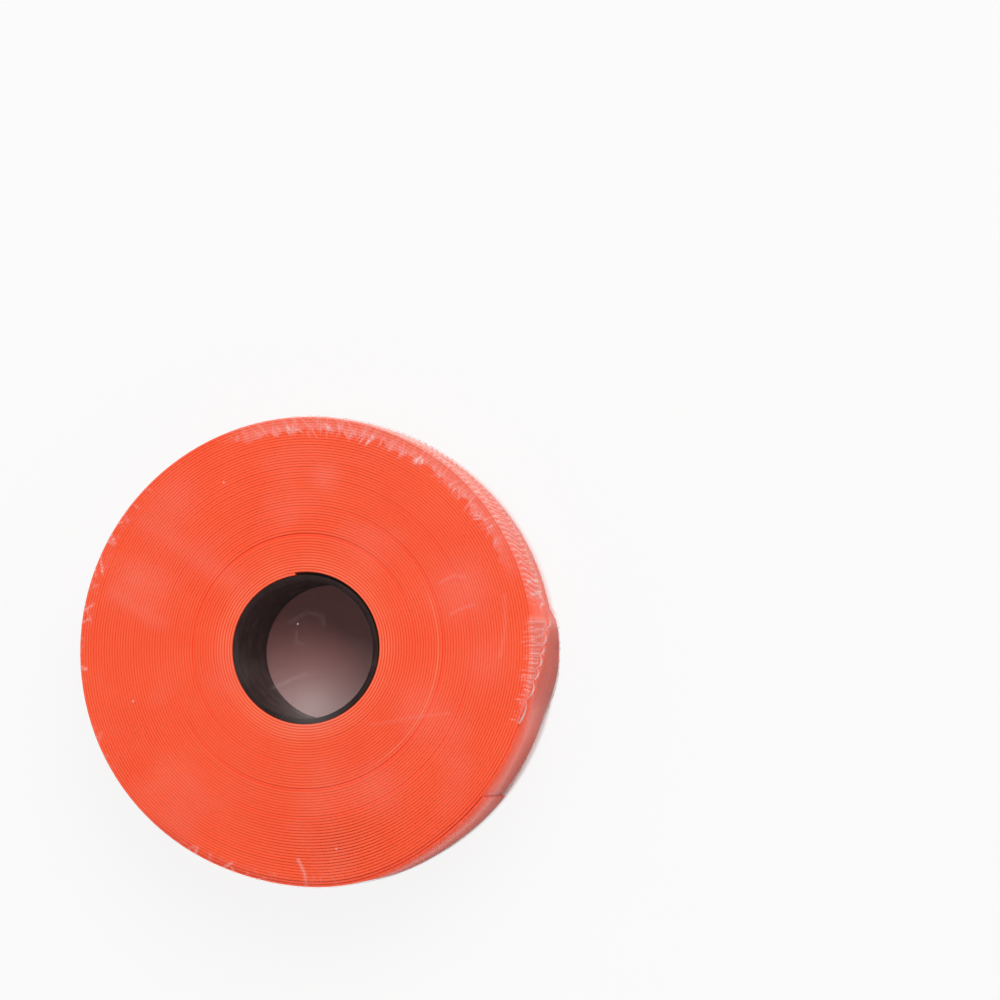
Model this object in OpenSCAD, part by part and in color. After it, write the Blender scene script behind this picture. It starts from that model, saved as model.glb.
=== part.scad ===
// Roll of tear-off tourniquets, sealed in clear shrink film.
// Flat stretch strips, joined end to end at tear lines, are wound on a thin core. Two sheets of
// film close round the roll and are welded along a fin. The roll lies flat on the origin, with
// its axis along +Z, and the winding runs outwards counter-clockwise seen from above.

/* [Strips] */
// Number of strips on the roll
strip_count = 25; // [4:1:40]
// Length of one strip, from tear line to tear line
strip_length = 450; // [300:10:600]
// Width of a strip, which is the height of the roll
strip_width = 25; // [18:0.5:50]
// Thickness of a strip
strip_thickness = 0.5; // [0.3:0.02:1]
// Space between two turns, taken up by dusting powder and air
turn_gap = 0.07; // [0.06:0.01:0.2]
// Direction of the inner end of the first strip, from +X
inner_end_angle = 98; // [0:1:359]

/* [Tear lines] */
// Number of ties that hold a strip to the next one
tie_count = 5; // [2:1:8]
// Width of one tie, across the strip
tie_width = 1.4; // [0.6:0.1:2]
// Length of the slits between the ties, along the strip
slit_length = 0.4; // [0.2:0.1:1]

/* [Core] */
// Outer diameter of the core
core_diameter = 30.6; // [20:0.2:60]
// Thickness of the core's wall
core_wall = 1.1; // [0.8:0.1:3]
// Chamfer along the core's edges
core_chamfer = 0.25; // [0.1:0.05:0.35]
// Space between the core and the first turn
core_clearance = 0.08; // [0.04:0.02:0.3]

/* [Film] */
// Thickness of the film
film_thickness = 0.15; // [0.1:0.05:0.4]
// Space between the film and the outermost turn
film_side_clearance = 0.2; // [0.15:0.05:1]
// Space between the film and the two flat faces of the roll
film_face_clearance = 0.1; // [0.05:0.05:0.5]

/* [Weld] */
// Height of the weld above the underside
weld_height = 12.5; // [6:0.5:15]
// Width of the welded fin, beyond the side of the film
fin_width = 0.6; // [0.3:0.1:3]
// Radius of the bead that trimming leaves along the fin
bead_radius = 0.3; // [0.2:0.05:0.6]
// Space between the two halves of the weld
weld_gap = 0.06; // [0.02:0.02:0.2]
// Direction in which the fin starts, from +X, beyond the folded side
fin_start_angle = 8; // [0:1:359]
// Angle that the fin goes round, the rest being the folded side
fin_sweep = 242; // [90:1:345]

/* [Hidden] */
// Arcs meet exactly when the pitch and the radii are whole steps
pitch_step = 0.002;
radius_step = 0.001;
angle_step = 0.001;
// Flats on a drawn circle, and steps along the rim of the film and its bead
$fn = 180;
rim_steps = 6;
bead_steps = 10;
strip_colour = [0.96, 0.36, 0.23];
core_colour = [0.1, 0.09, 0.09];
film_colour = [0.93, 0.94, 0.95, 0.3];

function snapped(value, step) = round(value / step) * step;
function arc(centre, radius, from, to, steps) =
    [for (i = [0 : steps])
        let (a = from + (to - from) * i / steps)
        centre + radius * [cos(a), sin(a)]];

// Winding: half turns of growing radius about two centres, pitch / 2 apart, the first on the core's axis
pitch = snapped(strip_thickness + turn_gap, pitch_step);
first_radius = snapped(core_diameter / 2 + core_clearance, radius_step);
function inner_radius(half) = first_radius + half * pitch / 2;
function centre_x(half) = half % 2 * pitch / 2;
function half_start(half) = half % 2 * 180;

// Length along the middle of the strip: up to a half turn, and back from a length to its place
middle_radius = first_radius + strip_thickness / 2;
function length_before(half) = PI * half * (middle_radius + (half - 1) * pitch / 4);
function half_at(length) =
    let (b = middle_radius - pitch / 4)
    floor((sqrt(b * b + pitch * length / PI) - b) / (pitch / 2));
function angle_at(length) =
    let (half = half_at(length))
    let (radius = inner_radius(half) + strip_thickness / 2)
    snapped((length - length_before(half)) / radius * 180 / PI, angle_step);

// Point on a half turn, at an angle from its start and a depth from the strip's inner face
function wall_point(half, angle, depth) =
    let (a = half_start(half) + angle)
    [centre_x(half), 0] + (inner_radius(half) + depth) * [cos(a), sin(a)];

// The winding's reach, at its outer end or where its last full half turn ends
last_half = half_at(strip_count * strip_length);
end_angle = angle_at(strip_count * strip_length);
winding_radius = max(
    norm(wall_point(last_half, end_angle, strip_thickness)),
    norm(wall_point(last_half - 1, 180, strip_thickness)));

// Heights, from the underside up
roll_bottom = film_thickness + film_face_clearance;
total_height = strip_width + 2 * roll_bottom;
film_inner_radius = winding_radius + film_side_clearance;
film_outer_radius = film_inner_radius + film_thickness;
// The rim is as round as the roll's sharp edge lets it be
rim_radius = film_side_clearance + film_face_clearance;
fin_radius = film_outer_radius + fin_width;

// Least distance between neighbouring turns, measured on points along every half turn
least_gap = min([for (half = [2 : last_half], angle = [0 : 45 : 180])
    norm(wall_point(half, angle, 0) - wall_point(half - 2, angle, strip_thickness))]);
outer_end_angle = inner_end_angle + half_start(last_half) + end_angle;
echo(turns = last_half / 2, outer_end_angle = outer_end_angle % 360);
echo(roll_diameter = 2 * winding_radius, least_gap_between_turns = least_gap);

function strip_name(i) = str("strip_", i < 10 ? "0" : "", i);

// Part of one half turn: a band of the given depth and height, between two angles
module half_turn_band(half, from, to, radius, depth, bottom, height) {
    translate([centre_x(half), 0, 0])
        rotate_extrude(angle = to - from, start = half_start(half) + from)
            translate([radius, bottom])
                square([depth, height]);
}

// Band along the winding between two lengths, set out from the strip's inner face by an offset
module wound_band(from_length, to_length, offset, depth, bottom, height, overrun = 0) {
    first_half = half_at(from_length);
    end_half = half_at(to_length);
    for (half = [first_half : end_half]) {
        from = half == first_half ? angle_at(from_length) : 0;
        to = half == end_half ? angle_at(to_length) + overrun : 180;
        if (to > from)
            half_turn_band(half, from, to, inner_radius(half) + offset, depth, bottom, height);
    }
}

// Slits between the ties, at the outer end of a strip
module tear_slits(length) {
    slit_width = (strip_width - tie_count * tie_width) / (tie_count - 1);
    for (j = [0 : tie_count - 2])
        wound_band(length - slit_length, length, -turn_gap / 2, strip_thickness + turn_gap,
            roll_bottom + tie_width + j * (tie_width + slit_width), slit_width, overrun = 1);
}

// One strip, numbered from the core outwards
module strip(i) {
    color(strip_colour)
        rotate([0, 0, inner_end_angle])
            difference() {
                wound_band((i - 1) * strip_length, i * strip_length, 0, strip_thickness,
                    roll_bottom, strip_width);
                tear_slits(i * strip_length);
            }
}

// Thin tube that the strips are wound on, open through its bore
module core() {
    outer = core_diameter / 2;
    inner = outer - core_wall;
    top = roll_bottom + strip_width;
    color(core_colour)
        rotate_extrude()
            polygon([
                [inner, roll_bottom + core_chamfer],
                [inner + core_chamfer, roll_bottom],
                [outer - core_chamfer, roll_bottom],
                [outer, roll_bottom + core_chamfer],
                [outer, top - core_chamfer],
                [outer - core_chamfer, top],
                [inner + core_chamfer, top],
                [inner, top - core_chamfer]
            ]);
}

// One sheet of film, shrunk to a shallow cup: a disc, a rounded rim and a side of the given height
module film_cup(height) {
    rim_centre = [film_inner_radius - rim_radius, film_thickness + rim_radius];
    rotate_extrude()
        polygon(concat(
            [[0, 0]],
            arc(rim_centre, rim_radius + film_thickness, -90, 0, rim_steps),
            [[film_outer_radius, height], [film_inner_radius, height]],
            arc(rim_centre, rim_radius, 0, -90, rim_steps),
            [[0, film_thickness]]
        ));
    film_fin(height);
}

// Half of the welded fin: a flat lip that ends in half of the trimmed bead
module film_fin(height) {
    bead_from = 180 + asin(film_thickness / bead_radius);
    rotate_extrude(angle = fin_sweep, start = fin_start_angle)
        polygon(concat(
            [[film_inner_radius, height], [film_inner_radius, height - film_thickness]],
            arc([fin_radius, height], bead_radius, bead_from, 360, bead_steps)
        ));
}

module wrap_lower() {
    color(film_colour)
        film_cup(weld_height - weld_gap / 2);
}

module wrap_upper() {
    color(film_colour)
        translate([0, 0, total_height])
            mirror([0, 0, 1])
                film_cup(total_height - weld_height - weld_gap / 2);
}

core();
for (i = [1 : strip_count])
    strip(i);
wrap_lower();
wrap_upper();
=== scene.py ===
"""Looks of a roll of tear-off tourniquets: orange strips on a black core, sealed in clear shrink film."""

import math
from collections import namedtuple
from types import SimpleNamespace

import bpy
import numpy as np
from mathutils import Matrix, Vector


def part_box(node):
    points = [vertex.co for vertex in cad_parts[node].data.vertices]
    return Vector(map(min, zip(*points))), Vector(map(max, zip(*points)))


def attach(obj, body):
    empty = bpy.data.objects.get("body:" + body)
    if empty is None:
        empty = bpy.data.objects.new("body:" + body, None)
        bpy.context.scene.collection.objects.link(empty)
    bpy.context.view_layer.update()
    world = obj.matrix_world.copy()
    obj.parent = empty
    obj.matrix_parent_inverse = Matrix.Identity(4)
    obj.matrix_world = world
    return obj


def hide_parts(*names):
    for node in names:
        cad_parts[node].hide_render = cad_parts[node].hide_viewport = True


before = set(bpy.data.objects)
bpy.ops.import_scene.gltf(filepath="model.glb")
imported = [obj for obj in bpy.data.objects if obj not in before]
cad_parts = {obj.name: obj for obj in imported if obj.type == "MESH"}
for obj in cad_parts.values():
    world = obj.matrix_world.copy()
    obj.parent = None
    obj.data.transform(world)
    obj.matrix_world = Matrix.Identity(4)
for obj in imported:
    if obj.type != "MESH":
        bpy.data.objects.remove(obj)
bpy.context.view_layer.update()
MM = 0.001

# Roll, in metres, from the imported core
core_low, core_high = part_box("core")
ROLL_BOTTOM = core_low.z
ROLL_TOP = core_high.z
CORE_RADIUS = core_high.x

# Winding, as the solids are wound: half turns about two centres
STRIP_COUNT = 25
STRIP_LENGTH = 450 * MM
STRIP_THICKNESS = 0.5 * MM
PITCH = 0.57 * MM
CORE_CLEARANCE = 0.08 * MM
FIRST_RADIUS = CORE_RADIUS + CORE_CLEARANCE
INNER_END_ANGLE = math.radians(98)
STRIP_STEP = math.radians(3)
TIE_COUNT = 5
TIE_WIDTH = 1.4 * MM
SLIT_LENGTH = 0.12 * MM

# Film, as a thin sheet clear of the strips
FILM_GAP = 0.14 * MM
FILM_RIM = 0.45 * MM
FILM_INDEX = 1.5
FILM_SHINE = 0.03
WELD_HEIGHT = 12.5 * MM
WELD_GAP = 0.03 * MM
FIN_WIDTH = 0.6 * MM
BEAD_RADIUS = 0.3 * MM
# Angles in degrees between which the weld stands out as a fin
FIN_FROM, FIN_TO = 8, 250


def smoothstep(low, high, value):
    """0 below low, 1 above high and smooth between; low may be the higher one."""
    t = np.clip((value - low) / (high - low), 0, 1)
    return t * t * (3 - 2 * t)


def bell(away):
    """1 at 0, falling smoothly to almost nothing at 2 either way."""
    return np.exp(-(away ** 2))


def wander(place, seed, knots):
    """Smooth noise from -1 to 1 along a line, with one knot per unit of place."""
    values = np.random.default_rng(seed).uniform(-1, 1, knots)
    cell = np.floor(place).astype(int)
    t = place - cell
    t = t * t * (3 - 2 * t)
    return values[cell % knots] * (1 - t) + values[(cell + 1) % knots] * t


def turned(angle, centre):
    """Angle from a centre direction, from -pi to pi."""
    return (angle - centre + math.pi) % (2 * math.pi) - math.pi


def zone(angle, rise_from, rise_to, fall_from, fall_to):
    """1 within a stretch of the rim, 0 outside it; angles in degrees, going up."""
    degrees = (np.degrees(angle) - rise_from) % 360
    rising = smoothstep(0, rise_to - rise_from, degrees)
    return rising * smoothstep(fall_to - rise_from, fall_from - rise_from, degrees)


def mesh_piece(name, points, faces, material, body, rounded=None):
    """A mesh object that rides on a body and takes its finish from a slot; faces after the first
    rounded ones are shaded flat."""
    mesh = bpy.data.meshes.new(name)
    mesh.from_pydata([tuple(p) for p in points], [], [tuple(f) for f in faces])
    rounded = len(faces) if rounded is None else rounded
    mesh.polygons.foreach_set("use_smooth", [i < rounded for i in range(len(faces))])
    mesh.materials.append(material)
    mesh.update()
    piece = bpy.data.objects.new(name, mesh)
    bpy.context.scene.collection.objects.link(piece)
    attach(piece, body)
    return piece


def float_attribute(piece, name, values):
    attribute = piece.data.attributes.new(name, "FLOAT", "POINT")
    attribute.data.foreach_set("value", np.asarray(values, np.float32).ravel())


# Materials
def new_material(name):
    """A node material with a principled shader, and its nodes."""
    material = bpy.data.materials.new(name)
    material.use_nodes = True
    return material, material.node_tree.nodes


def link(source, socket):
    """Feed an input from an output in the same tree."""
    socket.id_data.links.new(source, socket)


def new_node(nodes, kind, **inputs):
    """A shader node of a kind, with some of its inputs set."""
    node = nodes.new(f"ShaderNode{kind}")
    for name, value in inputs.items():
        node.inputs[name].default_value = value
    return node


def object_noise(nodes, scale, detail=3.0, roughness=0.5):
    """Noise on object coordinates, with the given scale per metre."""
    noise = new_node(nodes, "TexNoise", Scale=scale, Detail=detail, Roughness=roughness)
    link(new_node(nodes, "TexCoord").outputs["Object"], noise.inputs["Vector"])
    return noise.outputs["Fac"]


def attribute_value(nodes, name):
    """Value of a mesh attribute."""
    node = new_node(nodes, "Attribute")
    node.attribute_name = name
    return node.outputs["Fac"]


def ramp(nodes, source, stops):
    """Colour ramp from a factor output, through (position, colour) stops."""
    node = new_node(nodes, "ValToRGB")
    elements = node.color_ramp.elements
    while len(elements) < len(stops):
        elements.new(0.5)
    for element, (position, colour) in zip(elements, stops):
        element.position = position
        element.color = (*colour, 1)
    link(source, node.inputs["Fac"])
    return node.outputs["Color"]


def map_range(nodes, source, *limits):
    """Value mapped from one range to another, given by the limits of both."""
    node = new_node(nodes, "MapRange")
    for socket, limit in zip(("From Min", "From Max", "To Min", "To Max"), limits):
        node.inputs[socket].default_value = limit
    link(source, node.inputs["Value"])
    return node.outputs["Result"]


def math_node(nodes, operation, first, second):
    """Math node whose inputs are outputs or plain numbers."""
    node = new_node(nodes, "Math")
    node.operation = operation
    for socket, value in zip(node.inputs, (first, second)):
        if isinstance(value, (int, float)):
            socket.default_value = value
        else:
            link(value, socket)
    return node.outputs["Value"]


def mixed_shader(nodes, share, first, second):
    """Mix of two shaders; share is that of the second one."""
    node = new_node(nodes, "MixShader")
    link(share, node.inputs["Fac"])
    link(first, node.inputs[1])
    link(second, node.inputs[2])
    return node.outputs["Shader"]


def grain_bump(nodes, grain, strength, distance):
    """Fine grain in the surface of the principled shader."""
    bump = new_node(nodes, "Bump", Strength=strength, Distance=distance)
    link(grain, bump.inputs["Height"])
    link(bump.outputs["Normal"], nodes["Principled BSDF"].inputs["Normal"])


def strip_material():
    """Matte orange elastomer with faint cloudy colour, paler where powder lies on its cut edges; the
    contrast across each edge, deeper orange at its sides, is partly painted shade between the turns.
    """
    material, nodes = new_material("strip_elastomer")
    shader = nodes["Principled BSDF"]
    cloud = object_noise(nodes, 70, 4)
    colour = ramp(nodes, cloud, [
        (0.3, (0.96, 0.07, 0.011)), (0.55, (0.98, 0.079, 0.014)), (0.75, (0.99, 0.09, 0.018))])
    dust = object_noise(nodes, 160, 3)
    cover = map_range(nodes, dust, 0.3, 0.7, 0.55, 1.0)
    # Powder on the edges, whose lack at their sides also paints shade between the turns
    amount = math_node(nodes, "MULTIPLY", attribute_value(nodes, "powder"), cover)
    powdered = new_node(nodes, "Mix")
    powdered.data_type = "RGBA"
    powdered.inputs["B"].default_value = (0.98, 0.24, 0.13, 1)
    link(amount, powdered.inputs["Factor"])
    link(colour, powdered.inputs["A"])
    link(powdered.outputs["Result"], shader.inputs["Base Color"])
    grain = object_noise(nodes, 9000, 2)
    rough = map_range(nodes, grain, 0.3, 0.7, 0.46, 0.62)
    link(rough, shader.inputs["Roughness"])
    grain_bump(nodes, grain, 0.25, 0.04 * MM)
    shader.inputs["Specular IOR Level"].default_value = 0.3
    return material


def core_material():
    """Near-black moulded plastic, satin, with scuffs and light dust."""
    material, nodes = new_material("core_plastic")
    shader = nodes["Principled BSDF"]
    scuff = object_noise(nodes, 260, 5, 0.65)
    colour = ramp(nodes, scuff, [
        (0.35, (0.011, 0.004, 0.004)), (0.6, (0.017, 0.007, 0.007)), (0.78, (0.034, 0.02, 0.019))])
    link(colour, shader.inputs["Base Color"])
    rough = map_range(nodes, scuff, 0.3, 0.7, 0.32, 0.55)
    link(rough, shader.inputs["Roughness"])
    shader.inputs["Specular IOR Level"].default_value = 0.3
    grain_bump(nodes, object_noise(nodes, 5000, 2), 0.2, 0.05 * MM)
    return material


def film_gloss(nodes):
    """Shine of the film: its shader and its share."""
    gloss = new_node(nodes, "BsdfGlossy", Color=(1, 1, 1, 1))
    fine = object_noise(nodes, 700, 3)
    rough = map_range(nodes, fine, 0.3, 0.7, 0.1, 0.22)
    link(rough, gloss.inputs["Roughness"])
    # Air lies on both sides of the film, so the back of a face shines like its front
    sides = new_node(nodes, "NewGeometry")
    index = map_range(nodes, sides.outputs["Backfacing"], 0, 1, FILM_INDEX, 1 / FILM_INDEX)
    fresnel = new_node(nodes, "Fresnel")
    link(index, fresnel.inputs["IOR"])
    return gloss.outputs["BSDF"], math_node(nodes, "MINIMUM", fresnel.outputs["Fac"], FILM_SHINE)


def film_specks(nodes):
    """Milkiness of faint patches and specks of dust all over the film."""
    patches = object_noise(nodes, 55, 3)
    veil = map_range(nodes, patches, 0.52, 0.8, 0.0, 0.04)
    speck = new_node(nodes, "TexVoronoi", Scale=120)
    link(new_node(nodes, "TexCoord").outputs["Object"], speck.inputs["Vector"])
    dust = map_range(nodes, speck.outputs["Distance"], 0.015, 0.034, 0.35, 0.0)
    return math_node(nodes, "ADD", veil, dust)


def film_material():
    """Clear shrink film: see-through, glossy at an angle, milky where it is gathered or creased."""
    material, nodes = new_material("shrink_film")
    nodes.remove(nodes["Principled BSDF"])
    clear = new_node(nodes, "BsdfTransparent")
    # Painted light: a reddish tint over the bore stands in for the reddish light that fills it
    painted_bore_light = attribute_value(nodes, "painted_bore_light")
    tint = ramp(nodes, painted_bore_light, [(0.0, (1, 1, 1)), (1.0, (0.94, 0.62, 0.6))])
    link(tint, clear.inputs["Color"])
    gloss, shine = film_gloss(nodes)
    glossy = mixed_shader(nodes, shine, clear.outputs["BSDF"], gloss)
    # Milk, from a painted glow of the strips behind it, through white and grey, to a painted dark for the
    # shaded side
    milk = new_node(nodes, "BsdfDiffuse")
    toned = ramp(nodes, attribute_value(nodes, "tone"), [
        (0.0, (0.95, 0.42, 0.33)), (0.4, (0.94, 0.87, 0.85)),
        (0.7, (0.3, 0.24, 0.23)), (1.0, (0.08, 0.06, 0.06))])
    link(toned, milk.inputs["Color"])
    total = math_node(nodes, "ADD", attribute_value(nodes, "haze"), film_specks(nodes))
    milky = mixed_shader(nodes, total, glossy, milk.outputs["BSDF"])
    link(milky, nodes["Material Output"].inputs["Surface"])
    return material


STRIP_FINISH = strip_material()
CORE_FINISH = core_material()
FILM_FINISH = film_material()


# Strips
MIDDLE_RADIUS = FIRST_RADIUS + STRIP_THICKNESS / 2
WINDING_LENGTH = STRIP_COUNT * STRIP_LENGTH
# Soft strips press on their neighbours, so each is a little fuller than its solid
FULLNESS = 0.02 * MM
# Rounded section of a strip's edge: share of the depth, drop below the edge in mm and powder on it, which
# also paints shade between the turns as deeper orange at the sides
EDGE_SECTION = [(0, 0.05, 0), (0.07, 0.02, 0), (0.22, 0.005, 0.12), (0.5, 0, 0.34),
                (0.78, 0.005, 0.12), (0.93, 0.02, 0), (1, 0.05, 0)]
# A ring of points this close to each end of a strip keeps the shading of its edges level
END_RING = 0.02 * MM
# The edge of the strip wanders up and down, mostly down, with a slow and a quick part
WANDER_KNOT = math.radians(130)
WANDER_HEIGHT = 0.07 * MM
SLOW_SHARE, QUICK_SHARE, DOWN_SHARE = 0.75, 0.25, 0.6
# Turns that lie lower than the rest: radius and depth in mm
SUNK_TURNS = [(23.6, 0.3), (29.1, 0.24), (19.3, 0.12), (34.8, 0.15)]
SUNK_SPREAD = 0.2 * MM
# A turn that is dustier than the rest on the right
DUSTY_TURN = 28 * MM
# More powder near the core and on that turn, and less on the shoulder; powder on a tie
INNER_POWDER, TURN_POWDER, SHOULDER_POWDER = 1.6, 1.8, -0.9
INNER_SHARE = 0.1
TIE_POWDER = 0.2
# The outer turns hang loose at the lower rim, and the outer end lifts
LOOSE_AT = math.radians(282)
LOOSE_SPREAD = math.radians(18)
LOOSE_DEPTH = 14 * MM
LOOSE_BULGE = 0.95 * MM
TAIL_LENGTH = 22 * MM
TAIL_LIFT = 0.15 * MM
# On the right the outer turns lean out at their foot, into a loose fold of the film
EAR_FLARE = 1.3 * MM
EAR_DEPTH = 6 * MM
# At the lower right the outer turns stand lower, like a shoulder
SHOULDER_DROP = 0.7 * MM
SHOULDER_FROM, SHOULDER_TO = 46.3 * MM, 47.9 * MM


def half_turns(length):
    """Half turn in which a length along the winding falls, and the angle from its start."""
    b = MIDDLE_RADIUS - PITCH / 4
    half = np.floor((np.sqrt(b * b + PITCH * length / math.pi) - b) / (PITCH / 2))
    before = math.pi * half * (MIDDLE_RADIUS + (half - 1) * PITCH / 4)
    return half, (length - before) / (MIDDLE_RADIUS + half * PITCH / 2)


def swept_angle(length):
    """Angle that the winding has swept at a length along it."""
    half, angle = half_turns(length)
    return half * math.pi + angle


def face_place(length):
    """Angle round the roll and radius of the strip's middle at a length along the winding."""
    swept = swept_angle(length)
    return swept + INNER_END_ANGLE, MIDDLE_RADIUS + swept / math.pi * PITCH / 2


def loose(angle):
    """How loose the outer turns are at an angle round the roll, from 0 to 1."""
    return bell(turned(angle, LOOSE_AT) / LOOSE_SPREAD)


def ear_flare(angle, height, beyond=0):
    """How far the outer turns lean out at a height on the right, or the film some degrees beyond them."""
    stretch = zone(angle, -18 - beyond, -4 - beyond, 6 + beyond, 11 + beyond)
    return EAR_FLARE * stretch * np.clip((ROLL_TOP - height) / (ROLL_TOP - ROLL_BOTTOM), 0, 1)


def shoulder(angle, radius):
    """How far the outer turns stand lower at a place on the face."""
    outside = smoothstep(SHOULDER_FROM, SHOULDER_TO, radius) ** 1.5
    return SHOULDER_DROP * zone(angle, 205, 255, 340, 356) * outside


def wound_points(length, depth, height):
    """Points of the winding at lengths along it, depths from the inner face and heights."""
    half, angle = half_turns(length)
    odd = half % 2
    direction = angle + odd * math.pi
    outermost = FIRST_RADIUS + half_turns(WINDING_LENGTH)[0] * PITCH / 2
    turn_radius = FIRST_RADIUS + half * PITCH / 2
    reached = turn_radius + angle / math.pi * PITCH / 2
    slack = smoothstep(outermost - LOOSE_DEPTH, outermost, reached)
    outer = smoothstep(outermost - EAR_DEPTH, outermost, reached)
    at = direction + INNER_END_ANGLE
    tail = smoothstep(WINDING_LENGTH - TAIL_LENGTH, WINDING_LENGTH, length)
    radius = turn_radius + depth + TAIL_LIFT * tail
    radius = radius + slack * LOOSE_BULGE * loose(at) + outer * ear_flare(at, height)
    x = odd * PITCH / 2 + radius * np.cos(direction)
    y = radius * np.sin(direction)
    c, s = math.cos(INNER_END_ANGLE), math.sin(INNER_END_ANGLE)
    return np.stack([c * x - s * y, s * x + c * y, np.broadcast_to(height, x.shape)], axis=-1)


def edge_height(length):
    """How far the strip stands up or down at a length along the winding."""
    place = swept_angle(length) / WANDER_KNOT
    slow, quick = wander(place, 11, 256), wander(3 * place, 12, 512)
    up = WANDER_HEIGHT * (SLOW_SHARE * slow + QUICK_SHARE * quick - DOWN_SHARE)
    angle, radius = face_place(length)
    for ring, drop in SUNK_TURNS:
        up -= drop * MM * bell((radius - ring * MM) / SUNK_SPREAD)
    return up - shoulder(angle, radius)


def dustiness(length):
    """How much powder lies on the strip's edge at a length along the winding, 1 being the usual."""
    angle, radius = face_place(length)
    inner = smoothstep(INNER_SHARE, 0.0, length / WINDING_LENGTH)
    dusty = zone(angle, -65, -45, 15, 30) * bell((radius - DUSTY_TURN) / SUNK_SPREAD)
    clean = shoulder(angle, radius) / SHOULDER_DROP
    return 1 + INNER_POWDER * inner + TURN_POWDER * dusty + SHOULDER_POWDER * clean


def strip_band(start, end):
    """Band with rounded edges between two lengths of the winding: points, faces, how many of them
    are rounded, and powder with the painted shade between the turns."""
    swept = float(np.diff(swept_angle(np.array([start, end])))[0])
    length = np.linspace(start, end, math.ceil(swept / STRIP_STEP) + 1)
    length = np.concatenate([[start, start + END_RING], length[1:-1], [end - END_RING, end]])
    up = edge_height(length)
    dusty = dustiness(length)
    thickness = STRIP_THICKNESS + 2 * FULLNESS
    section, powder = [], []
    for edge, side in ((ROLL_TOP, -1), (ROLL_BOTTOM, 1)):
        for share, drop, edge_powder_and_shade in EDGE_SECTION[::-side]:
            height = np.maximum(edge + side * drop * MM + up, ROLL_BOTTOM)
            section.append(wound_points(length, share * thickness - FULLNESS, height))
            powder.append(edge_powder_and_shade * dusty)
    ring = len(section)
    faces = []
    for i in range(len(length) - 1):
        a, b = i * ring, (i + 1) * ring
        faces += [(a + j, b + j, b + (j + 1) % ring, a + (j + 1) % ring) for j in range(ring)]
    rounded = len(faces)
    last = (len(length) - 1) * ring
    for j in range(ring // 2 - 1):
        k = ring - 1 - j
        faces.append((j, j + 1, k - 1, k))
        faces.append((last + k, last + k - 1, last + j + 1, last + j))
    return np.stack(section, axis=1).reshape(-1, 3), faces, rounded, np.stack(powder, axis=1).ravel()


# Corners of a tie across the strip: depth and height
TIE_SECTION = ((0.0, 0.0), (STRIP_THICKNESS, 0.0), (STRIP_THICKNESS, TIE_WIDTH), (0.0, TIE_WIDTH))
BOX_FACES = [(0, 1, 2, 3), (7, 6, 5, 4), (0, 4, 5, 1), (1, 5, 6, 2), (2, 6, 7, 3), (3, 7, 4, 0)]


def tie(start, end, low):
    """Tie across a tear line, between two lengths of the winding: its eight corners."""
    corners = []
    for length in (start, end):
        for depth, height in TIE_SECTION:
            corners.append(wound_points(np.array([length]), depth, low + height)[0])
    return np.array(corners)


def strip(index):
    """One strip: its band, and the ties that hold it to the next one."""
    start = index * STRIP_LENGTH
    slit = start + STRIP_LENGTH - SLIT_LENGTH
    points, faces, rounded, powder = strip_band(start, slit)
    spacing = (ROLL_TOP - ROLL_BOTTOM - TIE_WIDTH) / (TIE_COUNT - 1)
    shift = float(edge_height(np.array([slit]))[0])
    for j in range(TIE_COUNT):
        count = len(points)
        low = max(ROLL_BOTTOM + j * spacing + shift, ROLL_BOTTOM)
        corners = tie(slit, start + STRIP_LENGTH, low)
        points = np.concatenate([points, corners])
        faces += [tuple(count + k for k in face) for face in BOX_FACES]
        powder = np.append(powder, np.full(len(corners), TIE_POWDER))
    name = f"strip_{index + 1:02d}"
    piece = mesh_piece(f"wound_{name}", points, faces, STRIP_FINISH, "roll", rounded)
    float_attribute(piece, "powder", powder)
    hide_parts(name)


for strip_index in range(STRIP_COUNT):
    strip(strip_index)

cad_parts["core"].data.materials.clear()
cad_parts["core"].data.materials.append(CORE_FINISH)


# Film
WINDING_RADIUS = float(np.linalg.norm(
    wound_points(np.array([WINDING_LENGTH]), STRIP_THICKNESS - TAIL_LIFT, 0.0)[0][:2]))
FILM_RADIUS = WINDING_RADIUS + FILM_GAP
FILM_TOP = ROLL_TOP + FILM_GAP
FILM_BOTTOM = ROLL_BOTTOM - FILM_GAP
FLAT_RADIUS = FILM_RADIUS - FILM_RIM
# Steps between the columns of a sheet, and the angles from which they are closer
COARSE_STEP = math.radians(0.6)
MIDDLE_STEP = math.radians(0.3)
MIDDLE_FROM = math.radians(-110)
FINE_STEP = math.radians(0.16)
FINE_FROM = math.radians(-25)
# Where the fine columns end, on the upper sheet and on the lower one
UPPER_FINE_TO = math.radians(120)
LOWER_FINE_TO = math.radians(76)
# Rings of a sheet: steps in mm on its face and near its rim, steps round the rim, rings down the side
FACE_STEP = 0.5
NEAR_RIM = 43
NEAR_RIM_STEP = 0.22
RIM_STEPS = 6
SIDE_RINGS = 24
# The film stands off over the outer end of the winding, which shows as a faint line
TAIL_ANGLE = math.radians(312)
TAIL_SPREAD = math.radians(14)
TAIL_SHARE = 1.2
TAIL_LINE = math.radians(321)
TAIL_LINE_WIDTH = math.radians(4)
# On the right the film leans out a little more than the turns, and some degrees further round
EAR_SHARE = 1.05
EAR_BEYOND = 2
# Outline of the winding: how many places it has, and the steps over which it is widened and eased
OUTLINE_COUNT = 720
WIDEN_STEPS = 12
EASE_STEPS = 18
EASE_WIDTH = 8.5


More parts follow.
